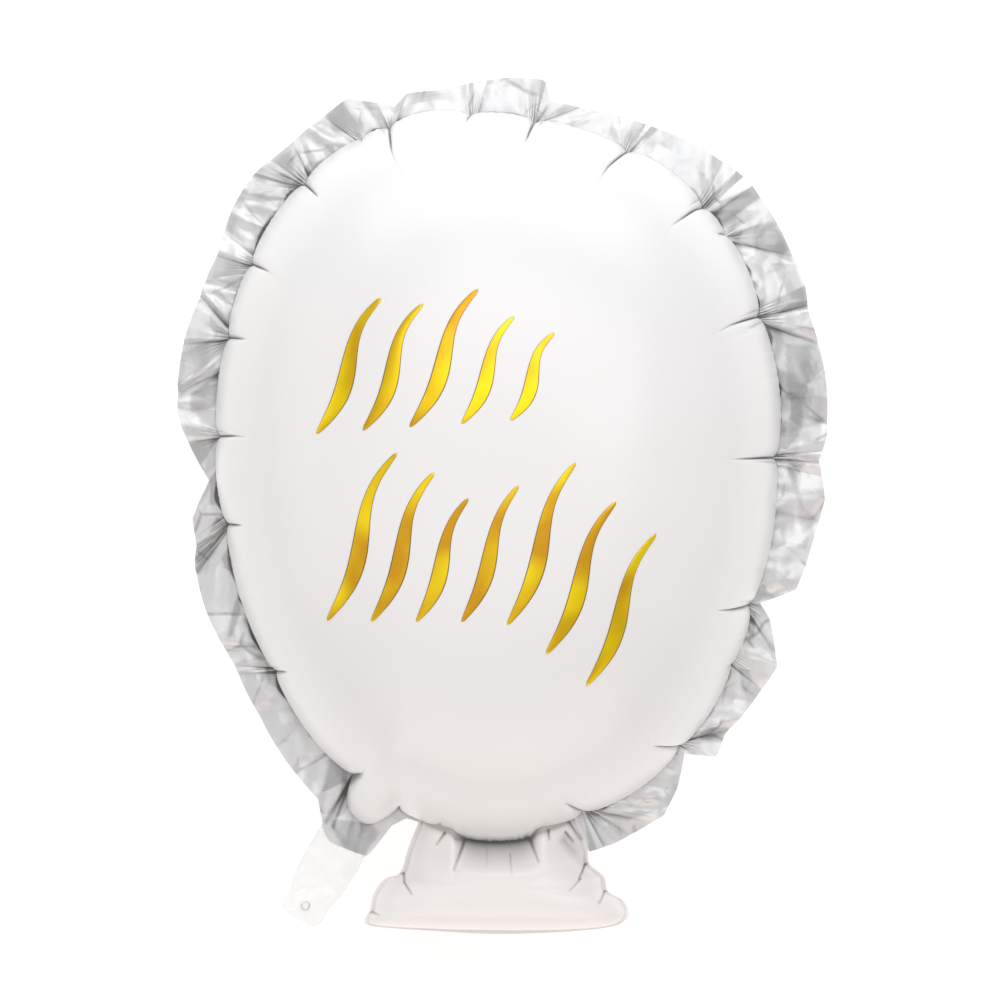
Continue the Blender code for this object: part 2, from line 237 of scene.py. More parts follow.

# The planes of the skirt that lean away, given painted shade: how dark, and corners in millimetres from the
# body's centre. Then the width of a plane's edge.
SKIRT_SHADED_PLANES = (
    (0.15, ((-60, 245), (-43, 247), (-31, 244), (-56, 240))),
    (0.15, ((2, 249), (14, 257), (20, 249))),
    (0.15, ((2, 231), (21, 227), (20, 225), (0, 229))),
    (0.1, ((26, 227), (53, 236), (67, 232), (40, 230))),
    (0.1, ((26, 229), (29, 242), (27, 246), (34, 241))),
    (0.22, ((133, 171), (161, 183), (167, 176), (149, 175))),
    (0.2, ((138, 168), (149, 170), (169, 170), (167, 165), (148, 157), (144, 159))),
    (0.28, ((148, 153), (164, 159), (179, 163), (191, 136), (162, 146))),
    (0.28, ((175, 136), (193, 135), (198, 112), (189, 112))),
    (0.2, ((159, 137), (167, 136), (172, 130), (171, 123), (164, 131))),
    (0.3, ((167, 117), (171, 122), (173, 114), (170, 105))),
    (0.35, ((188, 110), (200, 112), (200, 107), (178, 101))),
    (0.26, ((171, 99), (205, 86), (207, 72), (203, 50), (197, 28), (186, 16), (180, 16))),
    (0.48, ((171, 99), (183, 90), (194, 84), (196, 78), (185, 73), (179, 83))),
    (0.45, ((185, 84), (203, 83), (202, 65), (198, 46), (188, 40), (185, 65))),
    (0.45, ((188, 48), (198, 49), (196, 29), (187, 35))),
    (0.2, ((193, 21), (202, 39), (210, 35), (207, 19))),
    (0.2, ((182, 14), (207, 12), (207, 8), (194, 10))),
    (0.3, ((183, 11), (198, 8), (194, -1), (189, 5))),
    (0.2, ((184, 8), (191, 2), (198, -23), (193, -25), (189, -7))),
    (0.2, ((193, -23), (198, -22), (206, -30), (202, -36), (196, -39))),
    (0.25, ((196, -43), (202, -39), (198, -49), (191, -48))),
    (0.25, ((162, -83), (174, -83), (177, -92), (170, -89))),
    (0.3, ((161, -86), (166, -89), (165, -107), (161, -107))),
    (0.22, ((155, -125), (162, -126), (164, -134), (160, -142), (157, -136))),
    (0.35, ((130, -169), (155, -167), (151, -173), (131, -172))),
    (0.25, ((130, -168), (135, -162), (142, -163), (140, -165))),
    (0.3, ((61, -219), (101, -217), (84, -223))),
    (0.35, ((55, -219), (65, -244), (59, -244))),
    (0.35, ((-108, -183), (-94, -192), (-98, -198), (-113, -205))),
    (0.25, ((-94, -194), (-91, -210), (-98, -218), (-108, -224), (-103, -210))),
    (0.32, ((-99, -207), (-91, -214), (-81, -225), (-73, -226),
            (-85, -246), (-97, -243), (-106, -230), (-108, -219))),
    (0.3, ((-149, -125), (-142, -125), (-141, -138), (-148, -135))),
    (0.25, ((-159, -120), (-146, -119), (-151, -113))),
    (0.3, ((-169, -122), (-162, -119), (-161, -122))),
    (0.3, ((-162, -90), (-164, -94), (-157, -107), (-150, -114))),
    (0.4, ((-167, -77), (-171, -89), (-174, -106), (-170, -104), (-165, -88))),
    (0.35, ((-173, -46), (-178, -55), (-169, -70), (-167, -66))),
    (0.32, ((-173, -32), (-195, -47), (-195, -66), (-182, -48))),
    (0.3, ((-181, -28), (-173, -32), (-186, -39))),
    (0.35, ((-185, -4), (-180, 5), (-177, -20), (-185, -20))),
    (0.2, ((-179, 22), (-187, 10), (-189, -3), (-180, 8))),
    (0.38, ((-200, 20), (-179, 23), (-188, 9), (-193, 4))),
    (0.15, ((-200, 34), (-202, 24), (-182, 26), (-184, 29))),
    (0.3, ((-178, 66), (-198, 51), (-198, 40), (-183, 42), (-178, 51))),
    (0.28, ((-173, 86), (-187, 85), (-204, 78), (-206, 58), (-177, 78))),
    (0.15, ((-188, 96), (-177, 88), (-173, 99), (-182, 108))),
    (0.22, ((-180, 141), (-158, 134), (-166, 118), (-184, 126))),
    (0.35, ((-146, 167), (-140, 171), (-153, 147), (-157, 150))),
    (0.15, ((-167, 188), (-161, 182), (-172, 150), (-178, 147))),
    (0.2, ((-162, 188), (-135, 182), (-139, 173), (-160, 179))),
    (0.45, ((-135, 185), (-125, 185), (-134, 177))),
    (0.22, ((-125, 187), (-156, 195), (-133, 209), (-127, 207))),
    (0.25, ((-111, 201), (-121, 201), (-124, 197), (-122, 190))),
    (0.2, ((-110, 212), (-97, 213), (-109, 203))),
    (0.22, ((-114, 226), (-100, 242), (-86, 225), (-88, 216), (-108, 222))),
)
PLANE_EDGE = 1.4

# The skirt's other shape, in millimetres, for a skirt that is this wide. A fold grows to its height by
# about this power of the way out, more or less along the seam.
FULL_SKIRT = 30.0
CRUMPLE = 0.8
CRUMPLE_START = 5.0
BOW = 3.0
TIP = 2.5
FOLD_POWER = 1.2
FOLD_POWER_SPREAD = 0.4

# How far the skirt's edge droops, in millimetres at clock angles.
DROOPS = (
    (0, 3.5), (15, 5.5), (38, 7), (60, 3.5), (110, 3.5), (135, 5), (170, 3), (300, 3),
)

# The gathers on each side of a pinch: at which fine column, and how dark their painted shade is for each
# millimetre of the pinch's depth. Then how deep a quite dark one is in millimetres, how far from the seam
# it gets so, and the power by which gathers fade to the edge.
GATHERS = ((2, 0.30), (5, 0.25), (8, 0.16), (12, 0.10))
GATHER_DEPTH = 1.0
GATHER_START = 5.0
GATHER_FADE = 2.5

# Short rucks in the skirt beside the body, in millimetres.
RUCK = 0.7
RUCK_REACH = 5.0
RUCK_START = 0.8

# A fold's painted shade line fades to the edge by this power of the way left. It is bolder by the seam: how
# dark it is there on the next two columns, and the power by which that fades.
LINE_FADE = 0.9
LINE_SIDES = (0.85, 0.45)
SIDE_FADE = 2.6

# The film gets this much painted shade beside a fold's line, from this far behind the line. The shade fades
# over this many millimetres, and by this share on the way to the edge. The film also gets painted shade
# where it meets the body.
SHADE = 0.16
SHADE_BEHIND = 0.5
SHADE_REACH = 7.0
SHADE_FADE = 0.6
CONTACT_SHADE = 0.25
CONTACT_REACH = 0.9

# A layer's thickness, half the gap between the two, and the angle over which an edge of the mesh is sharp.
FILM = 0.22
LAYER_GAP = 0.08
SHARP_DEGREES = 30.0

# The tail comes out between the two layers here. They are calm within this reach in degrees, and by this
# share of it beyond. They part to let the tail through, fully at this share of the way out.
TAIL_ANGLE = 202.5
TAIL_REACH = 7.5
TAIL_BLEND = 0.3
TAIL_GAP = 0.4
TAIL_GAP_OPEN = 0.25

# The folds of the skirt and the tail where they lie on each other: height of the crumpling, its reach from
# the seam and how much painted shade the film gets there, and creases with their depth, width of the fold,
# how dark the line's painted shade is, half its width, and its points.
FLAP_CRUMPLE = 1.3
FLAP_REACH = 12.0
FLAP_SHADE = 0.05
FLAP_CREASES = (
    (2.4, 3, 1, 1.2, ((-93, -194), (-110.5, -224))),
    (1.5, 2, 0.7, 1.1, ((-94, -197), (-106, -227))),
    (1, 3, 0.15, 1.8, ((-92, -212), (-98, -244))),
    (1.2, 3, 0.15, 1.8, ((-84, -221), (-93, -246))),
)


def smooth_closed(values, places):
    """Smooth closed curves through evenly spaced values, read at places counted in values."""
    values = np.asarray(values, dtype=float)
    count = len(values)
    i = np.floor(places).astype(int)
    t = places - i
    a, b, c, d = (values[(i + k) % count] for k in (-1, 0, 1, 2))
    return b + t / 2 * (c - a + t * (2 * a - 5 * b + 4 * c - d + t * (3 * (b - c) + d - a)))


def seam_radius(angles):
    """The seam's radius in millimetres at clock angles in degrees, without pinches or bulges."""
    return smooth_closed(SEAM_RADII, np.asarray(angles) / SEAM_STEP)


# The profile of an inflated film, as a table: share of the way out, height, and length along the film.
PROFILE_STEPS = 4000
PROFILE_TURN = np.linspace(0.0, math.pi / 2, PROFILE_STEPS + 1)
PROFILE_SHARE = np.sqrt(np.sin(PROFILE_TURN))
between_shares = (PROFILE_SHARE[1:] + PROFILE_SHARE[:-1]) / 2
PROFILE_HEIGHT = np.concatenate(([0.0], np.cumsum(between_shares))) * PROFILE_TURN[1] / 2
PROFILE_FULL = PROFILE_HEIGHT[-1]
step_lengths = np.hypot(np.diff(PROFILE_SHARE), np.diff(PROFILE_HEIGHT))
PROFILE_LENGTH = np.concatenate(([0.0], np.cumsum(step_lengths)))


def clamp(values):
    """Values held between 0 and 1."""
    return np.clip(values, 0.0, 1.0)


def crown(share):
    """1 in the middle of an inflated film and 0 at its seam, where it stands upright."""
    return 1.0 - np.interp(share, PROFILE_SHARE, PROFILE_HEIGHT) / PROFILE_FULL


def ring_shares():
    """Rings of the body from the middle out, as shares of the way to the seam: closer together near it."""
    whole = PROFILE_LENGTH[-1]
    near = CLOSE_FROM_SEAM * (1.0 - np.linspace(0.0, 1.0, SEAM_RINGS + 1)) ** CLOSE_POWER
    far = np.linspace(whole - MIDDLE_GAP, CLOSE_FROM_SEAM, INNER_RINGS + 1)[:-1]
    lengths = whole - np.concatenate((far, near))
    return np.interp(lengths, PROFILE_LENGTH, PROFILE_SHARE)


def foot_bulge(angles):
    """The seam's bulge in millimetres at clock angles over the foot."""
    start, end = FOOT_SPAN
    swell = FOOT_BULGE * np.sin(math.pi * clamp((angles - start) / (end - start)))
    lip = clamp((LIP_HALF_SPAN - np.abs(angles - LIP_MIDDLE)) / LIP_END)
    return swell + LIP * lip


def off_angle(angles, angle):
    """How far clock angles are from one of them, from -180 to 180 degrees clockwise."""
    return (angles - angle + 180.0) % 360.0 - 180.0


def directions(angles):
    """Points on a circle of radius 1 at clock angles in degrees."""
    turn = np.radians(angles)
    return np.stack((np.sin(turn), np.cos(turn)), axis=-1)


def ripples(places, wavelengths, seed):
    """A sum of waves with the given wavelengths along the seam, between about -1 and 1."""
    random = np.random.default_rng(seed)
    total = np.zeros_like(places)
    for wavelength in wavelengths:
        total += np.sin(2 * math.pi * places / wavelength + random.uniform(0, 2 * math.pi))
    return total / math.sqrt(2 * len(wavelengths))


def facets(flat, seed, wavelengths):
    """A crumpled height over the plane: straight creases in many directions, between about -1 and 1."""
    random = np.random.default_rng(seed)
    total = np.zeros(len(flat))
    for wavelength in wavelengths:
        turn = random.uniform(0, math.pi)
        phase = random.uniform(0, 1)
        place = (flat[:, 0] * math.cos(turn) + flat[:, 1] * math.sin(turn)) / wavelength + phase
        total += 4 * np.abs(place - np.floor(place) - 0.5) - 1.0
    return total / math.sqrt(len(wavelengths))


def off_line(flat, points):
    """How far points lie from a bent line, and how far along it they are, from 0 to 1."""
    nearest = np.full(len(flat), np.inf)
    share = np.zeros(len(flat))
    corners = np.array(points)
    lengths = np.hypot(*np.diff(corners, axis=0).T)
    gone = 0.0
    for a, b, length in zip(corners, corners[1:], lengths):
        along = clamp((flat - a) @ (b - a) / length ** 2)
        off = np.hypot(*(flat - a - along[:, None] * (b - a)).T)
        closer = off < nearest
        nearest = np.where(closer, off, nearest)
        share = np.where(closer, (gone + along * length) / lengths.sum(), share)
        gone += length
    return nearest, share


# A crease line loses these shares of its depth and of its painted shade on the way to its end.
LINE_SHALLOWS = 0.7
LINE_PALES = 0.5


def creases(flat, lines):
    """Depth of crease lines in millimetres, and how dark their painted shade is, at points of the plane."""
    depth, mark = np.zeros((2, len(flat)))
    for deep, wide, dark, half, points in lines:
        near, along = off_line(flat, points)
        depth += deep * (1.0 - LINE_SHALLOWS * along) * np.exp(-near / wide)
        mark += dark * (1.0 - LINE_PALES * along) * np.exp(-((near / half) ** 2))
    return depth, mark


def planes(flat):
    """How dark the painted shade on the skirt's planes that lean away is at points of the plane."""
    dark = np.zeros(len(flat))
    for deep, points in SKIRT_SHADED_PLANES:
        corners = np.array(points, dtype=float)
        sides = np.roll(corners, -1, axis=0) - corners
        towards = np.roll(corners, -2, axis=0) - corners
        turn = math.copysign(1.0, sides[0, 0] * towards[0, 1] - sides[0, 1] * towards[0, 0])
        inside = np.full(len(flat), np.inf)
        for corner, line in zip(corners, sides):
            away = flat - corner
            off = turn * (line[0] * away[:, 1] - line[1] * away[:, 0]) / math.hypot(*line)
            inside = np.minimum(inside, off)
        dark = np.maximum(dark, deep * clamp(0.5 + inside / PLANE_EDGE))
    return dark


def beyond_seam(flat):
    """How far points in millimetres from the body's centre are outside its seam."""
    clock = np.degrees(np.arctan2(flat[:, 0], flat[:, 1])) % 360.0
    return np.hypot(*flat.T) - seam_radius(clock) - foot_bulge(clock)


def flap_wave(flat):
    """Height in millimetres of the film where the skirt and the tail lie on each other, and its painted
    shade.
    """
    depth, mark = creases(flat, FLAP_CREASES)
    crumple = FLAP_CRUMPLE * facets(flat, 51, (17.0, 23.0, 31.0))
    return (crumple - depth) * clamp(beyond_seam(flat) / FLAP_REACH), mark


class Columns:
    """The columns round the seam, clockwise: their places at the seam and at the skirt's edge."""

    def __init__(self):
        parts = [self.between(*pair) for pair in zip(PINCHES, PINCHES[1:] + PINCHES[:1])]
        self.angle, self.edge_angle, self.bulge, self.swell, self.gather = map(np.concatenate, zip(*parts))
        self.count = len(self.angle)
        self.radius = seam_radius(self.angle)
        self.place = np.radians(self.angle) * self.radius
        edge = self.edge_angle % 360.0
        self.edge_radius = np.interp(edge, *np.array(SKIRT_EDGE).T, period=360.0)
        self.droop = np.interp(self.angle, *np.array(DROOPS).T, period=360.0)
        self.ruck = RUCK * ripples(self.place, (8.3, 11.7, 14.9), 16)
        self.fold_power = FOLD_POWER + FOLD_POWER_SPREAD * ripples(self.place, (37.0, 59.0, 43.0), 12)
        fold_angles, heights, darks = np.array(SKIRT_FOLDS).T
        self.fold = np.interp(edge, fold_angles, heights, period=360.0)
        self.line, self.beside, self.shade = np.zeros((3, self.count))
        for fold_angle, dark in zip(fold_angles, darks):
            self.draw_fold(fold_angle, dark)
        for away, dark in enumerate(LINE_SIDES, 1):
            for step in (-away, away):
                self.beside = np.maximum(self.beside, dark * np.roll(self.line, step))

    def between(self, pinch, following):
        """Columns from a pinch to the next: angles at the seam and the edge, bulge, swell and gathers."""
        angle, _, _, deep, bulge, (lean, _, after) = pinch
        next_angle, _, _, next_deep, _, (next_lean, before, _) = following
        span = (next_angle - angle) % 360.0
        length = math.radians(span) * float(seam_radius(angle + span / 2))
        reach = min(FINE_REACH, FINE_SHARE * length)
        steps = max(LEAST_STEPS, round((length - 2 * reach) / COLUMN_SPACING))
        fine = np.linspace(0.0, 1.0, FINE_COLUMNS + 1)
        inner = np.linspace(0.0, 1.0, steps + 1)[1:-1]
        near = fine * reach
        far = reach + inner * (length - 2 * reach)
        share = np.concatenate((near, far, length - near[::-1])) / length
        end = span + next_lean
        middle = lean + after + inner * (end - before - lean - after)
        edge = np.concatenate((lean + fine * after, middle, end - (fine * before)[::-1]))
        outline = self.lobe(share) if angle == LOBE_PINCH else np.sin(math.pi * share)
        if angle == FOOT_SPAN[0]:
            edge = lean + share * (end - lean)
            outline = foot_bulge(angle + share * span) / bulge
        swell = SWELL * bulge * np.sin(math.pi * share) ** 2
        gather = np.zeros(len(share))
        for step, dark in GATHERS:
            gather[step] = dark * deep
            gather[-1 - step] = dark * next_deep
        values = (angle + share * span, angle + edge, bulge * outline, swell, gather)
        return [each[:-1] for each in values]

    def draw_fold(self, fold_angle, dark):
        """Draws a fold's painted shade line on the nearest column, and its painted shade beside it."""
        off = off_angle(self.edge_angle, fold_angle)
        nearest = int(np.argmin(np.abs(off)))
        self.line[nearest] = max(self.line[nearest], abs(dark))
        away = np.radians(off * math.copysign(1.0, dark)) * self.edge_radius
        shade = SHADE * abs(dark) * np.exp(-away / SHADE_REACH) * (away > -SHADE_BEHIND)
        self.shade = np.maximum(self.shade, shade)

    def across(self, angle):
        """How far the columns are past a clock angle, in millimetres along the seam."""
        return np.radians(off_angle(self.angle, angle)) * self.radius

    @staticmethod
    def lobe(share):
        """Outline of the puffed lobe over its span: it swells at one end and drops at the other."""
        rise = np.sin(math.pi / 2 * np.minimum(1.0, share / LOBE_RISE))
        return rise * np.sqrt(np.maximum(0.0, 1.0 - share ** LOBE_POWER))

    def pockets(self, out):
        """How dark the painted shade of the folded pockets beside the body is, this far out from the seam
        in millimetres.
        """
        dark = np.zeros(self.count)
        for start, end, wide, deep in SKIRT_POCKETS:
            place = np.minimum((self.angle - start) % 360.0 / (end - start), 1.0)
            tall = wide * (1.0 - np.abs(2.0 * place - 1.0) ** POCKET_FULLNESS)
            dark = np.maximum(dark, deep * clamp((tall - out) / POCKET_EDGE))
            shade = POCKET_SHADE * deep * np.exp(-out / (tall + LEAST_SHADE)) * (tall > 0.0)
            dark = np.maximum(dark, shade)
        return dark


def body_rows(columns, height, side):
    """Rings of points of the body's film from the middle out to the seam, in metres from the seam's centre.

    Also gives how dark each point's painted shade is along the creases, from 0 to 1."""
    slow = 0.5 + 0.5 * ripples(columns.place, (97.0, 171.0, 61.0), 5)
    fine = ripples(columns.place, (3.1, 4.3, 5.9, 7.7), 6 if side > 0 else 8)
    rows, marks = [], []
    for share in ring_shares():
        inside = columns.radius * (1.0 - share)
        shift, depth, mark = np.zeros((3, columns.count))
        for angle, length, lean, deep, _, _ in PINCHES:
            along = clamp(inside / length)
            across = np.abs(columns.across(angle))
            beyond = np.exp(-np.maximum(inside - length, 0.0) / LEAN_FADE)
            shift += lean * along * beyond * np.exp(-((across / LEAN_REACH) ** 2))
            wider = (CREASE_WIDTH_AT_SEAM - CREASE_WIDTH_INSIDE) * (1.0 - along) ** CREASE_NARROWS
            width = CREASE_WIDTH_INSIDE + wider
            fade = (1.0 - along ** 2) ** CREASE_FADE
            depth += deep * fade * np.exp(-across / width)
            mark += fade * np.exp(-((across / CREASE_MARK) ** 2)) * (along < 1.0)
        for angle, length, lean, deep in SIDE_CREASES:
            along = clamp(inside / length)
            across = np.abs(columns.across(angle) + lean * along / 2)
            fade = np.sin(math.pi * np.sqrt(along))
            depth += deep * fade * np.exp(-across / CREASE_WIDTH_INSIDE)
            mark += SIDE_CREASE_PAINTED_SHADE * fade * np.exp(-((across / CREASE_MARK) ** 2))
        turned = columns.angle + np.degrees(shift / columns.radius)
        near = np.exp(-inside / BULGE_BLEND)
        bulge = columns.bulge * near + columns.swell * (1.0 - near)
        radius = seam_radius(turned) + bulge * np.exp(-inside / BULGE_FADE)
        wrinkle = WRINKLE_HEIGHT * fine * slow * np.exp(-inside / WRINKLE_REACH)
        depth -= wrinkle * np.minimum(1.0, inside / WRINKLE_START)
        square = min(share, UPRIGHT_SHARE) ** 2
        steep = height / MM * square / math.sqrt(1.0 - square * square) / PROFILE_FULL
        lean_out = steep / np.hypot(steep, radius)
        lean_up = radius / np.hypot(steep, radius)
        out = radius * share - depth * lean_out
        rise = np.maximum(height / MM * float(crown(share)) - depth * lean_up, 0.0)
        flat = directions(turned) * out[:, None]
        rows.append(np.column_stack((flat, side * rise)) * MM)
        marks.append(clamp(mark))
    return rows, marks


def seam_line(columns):
    """The seam's own points in millimetres, with its pinches and bulges."""
    notch = np.zeros(columns.count)
    for angle, _, _, deep, _, _ in PINCHES:
        notch += deep * np.exp(-np.abs(columns.across(angle)) / CREASE_WIDTH_AT_SEAM)
    return directions(columns.angle) * (columns.radius + columns.bulge - notch)[:, None]


def skirt_rows(columns, side):
    """Rows of one layer of the skirt from the seam to its edge: its outer and inner face, and its painted
    shade.
    """
    seam = seam_line(columns)
    edge = directions(columns.edge_angle) * columns.edge_radius[:, None]
    width = np.hypot(*(edge - seam).T)
    full = np.minimum(1.0, width / FULL_SKIRT)
    from_tail = np.abs(columns.angle - TAIL_ANGLE) / TAIL_REACH
    by_tail = np.clip(1.0 + TAIL_BLEND - from_tail, 0.0, TAIL_BLEND) / TAIL_BLEND
    by_foot = (columns.angle > FOOT_SPAN[0]) & (columns.angle < FOOT_SPAN[1])
    quiet = (1.0 - by_tail) * np.where(by_foot, 0.0, 1.0)
    bow = BOW * ripples(columns.place, (53.0, 89.0, 31.0), 21)
    tip = TIP * ripples(columns.place, (71.0, 127.0), 22) - columns.droop
    outer, inner, marks = [], [], []
    for v in np.linspace(0.0, 1.0, SKIRT_ROWS + 1) ** SKIRT_ROW_POWER:
        flat = seam * (1.0 - v) + edge * v
        out = v * width
        bend = 1.0 - abs(2.0 * v - 1.0)
        crumple = facets(flat, 31, (41.0, 27.0, 33.0, 19.0, 15.0))
        lift = columns.fold * v ** columns.fold_power + bow * bend + tip * v
        lift += CRUMPLE * crumple * np.minimum(1.0, out / CRUMPLE_START)
        lift += columns.ruck * np.exp(-out / RUCK_REACH) * np.minimum(1.0, out / RUCK_START)
        gather = columns.gather * (1.0 - v) ** GATHER_FADE
        lift -= GATHER_DEPTH * gather * np.minimum(1.0, out / GATHER_START)
        pocket = columns.pockets(out) * quiet
        lift -= POCKET_DEPTH * pocket
        wave, flap_mark = flap_wave(flat)
        lift = lift * full * quiet + wave * by_tail
        gap = (LAYER_GAP + TAIL_GAP * by_tail * min(1.0, v / TAIL_GAP_OPEN)) * side
        outer.append(np.column_stack((flat, lift + gap + FILM * side)) * MM)
        inner.append(np.column_stack((flat, lift + gap)) * MM)
        line = np.maximum(columns.line * (1.0 - v) ** LINE_FADE, columns.beside * (1.0 - v) ** SIDE_FADE)
        line = np.maximum(line, gather)
        line = quiet * np.maximum(line, columns.shade * (1.0 - SHADE_FADE * v)) + planes(flat) * (v > 0.0)
        contact = CONTACT_SHADE * np.exp(-out / CONTACT_REACH)
        mark = np.maximum(line, pocket) + contact + flap_mark + FLAP_SHADE * by_tail
        marks.append(clamp(mark))
    return outer, inner, marks


def closed_mesh(name, rows, materials, slots):
    """A closed mesh of rings of points, with a fan over its first and last ring.

    slots gives each band's material."""
    count = len(rows[0])
    points = np.concatenate(rows + [rows[0].mean(axis=0)[None], rows[-1].mean(axis=0)[None]])
    ring = np.arange(count)
    after = (ring + 1) % count
    faces, kinds = [], []
    for band in range(len(rows) - 1):
        low, high = band * count, (band + 1) * count
        faces += np.column_stack((low + ring, low + after, high + after, high + ring)).tolist()
        kinds += [slots[band]] * count
    first, last = len(rows) * count, len(rows) * count + 1
    end = (len(rows) - 1) * count
    faces += np.column_stack((np.full(count, first), after, ring)).tolist()
    faces += np.column_stack((np.full(count, last), end + ring, end + after)).tolist()
    kinds += [slots[0]] * count + [slots[-1]] * count
    data = bpy.data.meshes.new(name)
    data.from_pydata((points + SEAM_CENTRE).tolist(), [], faces)
    for material in materials:
        data.materials.append(material)
    data.polygons.foreach_set("material_index", np.array(kinds, dtype=np.int32))
    return data


# The foot's outline in millimetres from the body's centre, anticlockwise from the neck's left side, its
# middle, and half its thickness there. The fullness is the power of its profile.
FOOT_OUTLINE = (
    (-40, -206), (-49, -227), (-55, -242), (-59.8, -256.5), (-70.5, -261), (-77.3, -270.5), (-79.5, -280),
    (-83, -286), (-78, -290), (-43, -292.2), (0, -293.2), (43.5, -292.8), (73, -289.8), (81.5, -283),
    (77.8, -274), (68.3, -268.2), (65.5, -259), (56.3, -251.3), (55, -240), (50, -227), (40, -206),
    (0, -200),
)
FOOT_MIDDLE = np.array((0.0, -264.0))
FOOT_HALF_THICKNESS = 30.5
FOOT_FULLNESS = 0.9
FOOT_PUFF = 0.25

# The foot's mesh: points between two corners of the outline, rings, the share of the film's length from the
# edge to the first of them, and the power by which they get closer to the edge.
FOOT_FINENESS = 32
FOOT_RINGS = 84
FOOT_FIRST_RING = 0.97
FOOT_RING_POWER = 1.2

# The flat welded margin round the foot. The foot's film lies over the skirt's.
FOOT_MARGIN = 2.8
FOOT_OVER_SKIRT = 0.03
FOOT_LEVEL = LAYER_GAP + FILM + FOOT_OVER_SKIRT

# Creases of the foot: depth in millimetres, width of the fold, how dark its line's painted shade is, half
# its width, and its points. A crease has its full depth this much of the foot's height above the edge.
FOOT_CREASES = (
    (3.4, 2.2, 1, 0.8, ((-60.4, -256.1), (-59.5, -261.3), (-55, -267.7))),
    (3.4, 2.2, 1, 0.8, ((56, -251.2), (51.7, -258.7))),
    (1.8, 2, 0.6, 0.7, ((53, -258.7), (45.9, -265.8))),
    (3, 2, 0.8, 0.8, ((68.6, -268.2), (64.6, -274.1))),
    (2.6, 2, 0.7, 0.9, ((-80.8, -281.5), (-75.8, -282.2))),
    (3, 1.8, 1, 0.8, ((-20.3, -233), (-28, -252.3))),
    (3, 1.8, 0.9, 0.8, ((20.2, -233), (26, -247.1))),
    (0.8, 1.4, 0.35, 0.6, ((8, -243), (9, -256))),
    (0.5, 1.4, 0.2, 0.6, ((-6.8, -241), (-7, -250))),
    (2, 1.6, 0.8, 0.8, ((-33.8, -229.4), (-39, -236.8))),
    (1.6, 1.4, 0.8, 0.8, ((32.4, -227.8), (33, -233.5))),
    (2.2, 1.6, 0.8, 0.8, ((45.3, -222.6), (53.6, -235.5))),
    (2, 1.6, 0.8, 0.8, ((43.3, -229.4), (48.5, -235.5))),
    (4.5, 4.5, 0.4, 4, ((43, -234), (55, -249.5))),
)
FOOT_CREASE_RISE = 1 / 6

# Painted shade where the foot's film rolls down at its edge: how dark, up to this much of its height.
FOOT_EDGE_SHADE = 0.1
FOOT_EDGE_RISE = 0.025

# The foot's film dives under the body: where it is lowest, how far it takes to rise, and how much it dives
# there, over the whole neck and more between its two long creases.
TUCK_MIDDLE = -231.0
TUCK_LENGTH = 25.0
TUCK_DEPTH = 0.12
PANEL_DEPTH = 0.70
PANEL_HALF_WIDTH = 23.0
PANEL_SQUARENESS = 6

# The body's shade on the foot: how dark and how far, on the panel and along the whole neck.
PANEL_MARK = 0.56
PANEL_SHADE = 20.0
NECK_MARK = 0.6
NECK_SHADE = 1.6


def foot_rows(side):
    """Rings of the foot's half from its middle to its margin, in metres from the seam's centre.

    Also gives how dark each point's painted shade is: crease lines, the body's shade and the edge."""
    places = np.arange(len(FOOT_OUTLINE) * FOOT_FINENESS) / FOOT_FINENESS
    xs, ys = np.array(FOOT_OUTLINE).T
    edge = np.column_stack((smooth_closed(xs, places), smooth_closed(ys, places))) - FOOT_MIDDLE
    out = edge / np.hypot(*edge.T)[:, None]
    rows, marks = [], []
    left = np.linspace(FOOT_FIRST_RING, 0.0, FOOT_RINGS)
    lengths = PROFILE_LENGTH[-1] * (1.0 - left ** FOOT_RING_POWER)
    for share in np.interp(lengths, PROFILE_LENGTH, PROFILE_SHARE):
        flat = FOOT_MIDDLE + edge * share
        rise = float(crown(share))
        height = np.full(len(flat), FOOT_HALF_THICKNESS * rise ** FOOT_FULLNESS)
        towards = clamp((flat[:, 1] - TUCK_MIDDLE) / TUCK_LENGTH + 1.0)
        panel = np.exp(-(np.abs(flat[:, 0]) / PANEL_HALF_WIDTH) ** PANEL_SQUARENESS)
        height *= 1.0 - (TUCK_DEPTH + PANEL_DEPTH * panel) * towards ** 2 * (3.0 - 2.0 * towards)
        depth, mark = creases(flat, FOOT_CREASES)
        height -= depth * min(1.0, rise / FOOT_CREASE_RISE)
        height += FOOT_PUFF * rise * facets(flat, 41, (61.0, 47.0, 83.0))
        height = np.maximum(height, FOOT_LEVEL)
        clear = np.maximum(beyond_seam(flat), 0.0)
        shade = clamp(1.0 - clear / PANEL_SHADE) ** 2
        mark += PANEL_MARK * panel * shade + NECK_MARK * np.exp(-clear / NECK_SHADE)
        mark += FOOT_EDGE_SHADE * max(0.0, 1.0 - rise / FOOT_EDGE_RISE)
        rows.append(np.column_stack((flat, side * height)) * MM)
        marks.append(clamp(mark))
    flat = FOOT_MIDDLE + edge + out * FOOT_MARGIN
    for level in (FOOT_LEVEL, LAYER_GAP + FOOT_OVER_SKIRT):
        rows.append(np.column_stack((flat, np.full(len(flat), side * level))) * MM)
    return rows, marks


